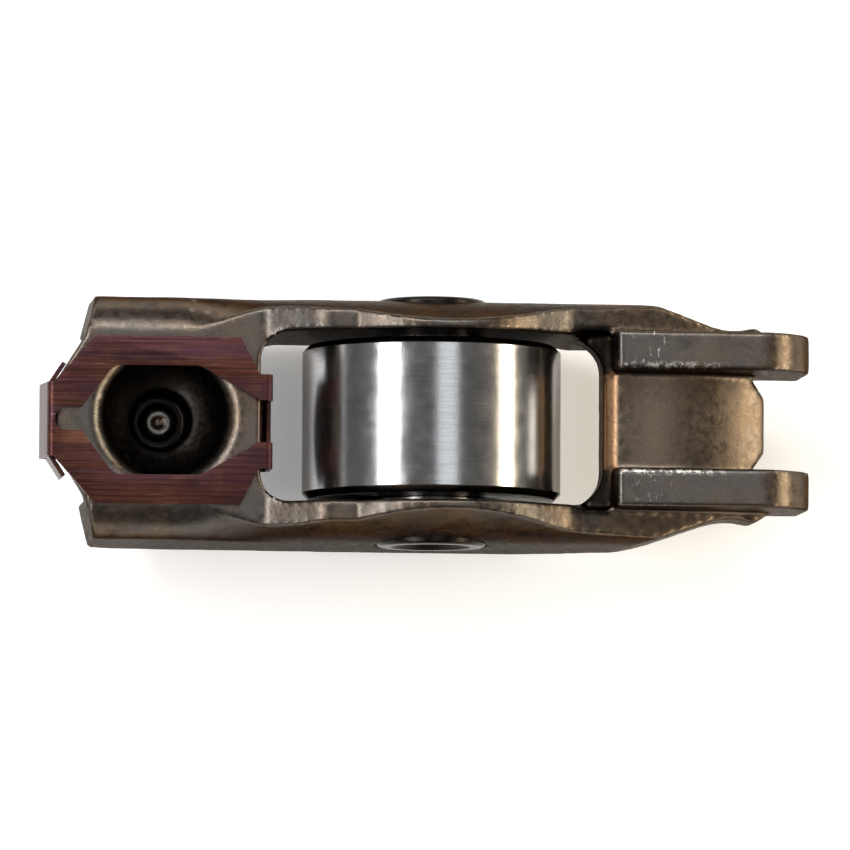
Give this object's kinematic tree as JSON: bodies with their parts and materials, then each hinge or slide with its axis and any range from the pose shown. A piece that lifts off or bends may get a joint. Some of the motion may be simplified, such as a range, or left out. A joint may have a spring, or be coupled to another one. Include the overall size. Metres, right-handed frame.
{
  "type": "roller finger follower with needle bearing",
  "caption": "Stamped steel cam follower lever with a needle-roller cam roller on a staked pin, a ball socket under a push-fit spring clip, and a convex valve pad between two guide ears.",
  "frame": {"origin": "centre of the cam roller, on the roller pin's axis and the lever's mid-plane", "axes": "+X along the lever to the valve end, +Y along the roller pin, +Z to the side that faces the pivot ball and the valve stem"},
  "size_m": [0.0535, 0.0172, 0.0182],
  "materials": {
    "pressed_steel": "carbonitrided and tumbled sheet steel, dark grey-brown, semi-gloss",
    "ground_steel": "ground and superfinished bearing steel",
    "pin_steel": "ground shaft with staked ends",
    "needle_steel": "polished bearing steel",
    "tempered_strip": "blued spring strip, red-brown temper colour with long rolling lines"
  },
  "bodies": {
    "lever": {"lever_body": "pressed_steel", "retaining_clip": "tempered_strip", "roller_pin": "pin_steel"},
    "roller": {"cam_roller": "ground_steel"},
    "needle_set": {"needle_01": "needle_steel", "needle_02": "needle_steel", "needle_03": "needle_steel", "needle_04": "needle_steel", "needle_05": "needle_steel", "needle_06": "needle_steel", "needle_07": "needle_steel", "needle_08": "needle_steel", "needle_09": "needle_steel", "needle_10": "needle_steel", "needle_11": "needle_steel", "needle_12": "needle_steel", "needle_13": "needle_steel", "needle_14": "needle_steel", "needle_15": "needle_steel", "needle_16": "needle_steel", "needle_17": "needle_steel"}
  },
  "joints": [
    {"name": "roller_spin", "type": "hinge", "parent": "lever", "child": "roller", "pos_m": [0, 0, 0], "axis": [0, 1, 0], "continuous": true},
    {"name": "needle_orbit", "type": "hinge", "parent": "lever", "child": "needle_set", "pos_m": [0, 0, 0], "axis": [0, 1, 0], "continuous": true}
  ],
  "couplings": [
    {"joint": "needle_orbit", "follows": "roller_spin", "ratio": 0.5889}
  ]
}
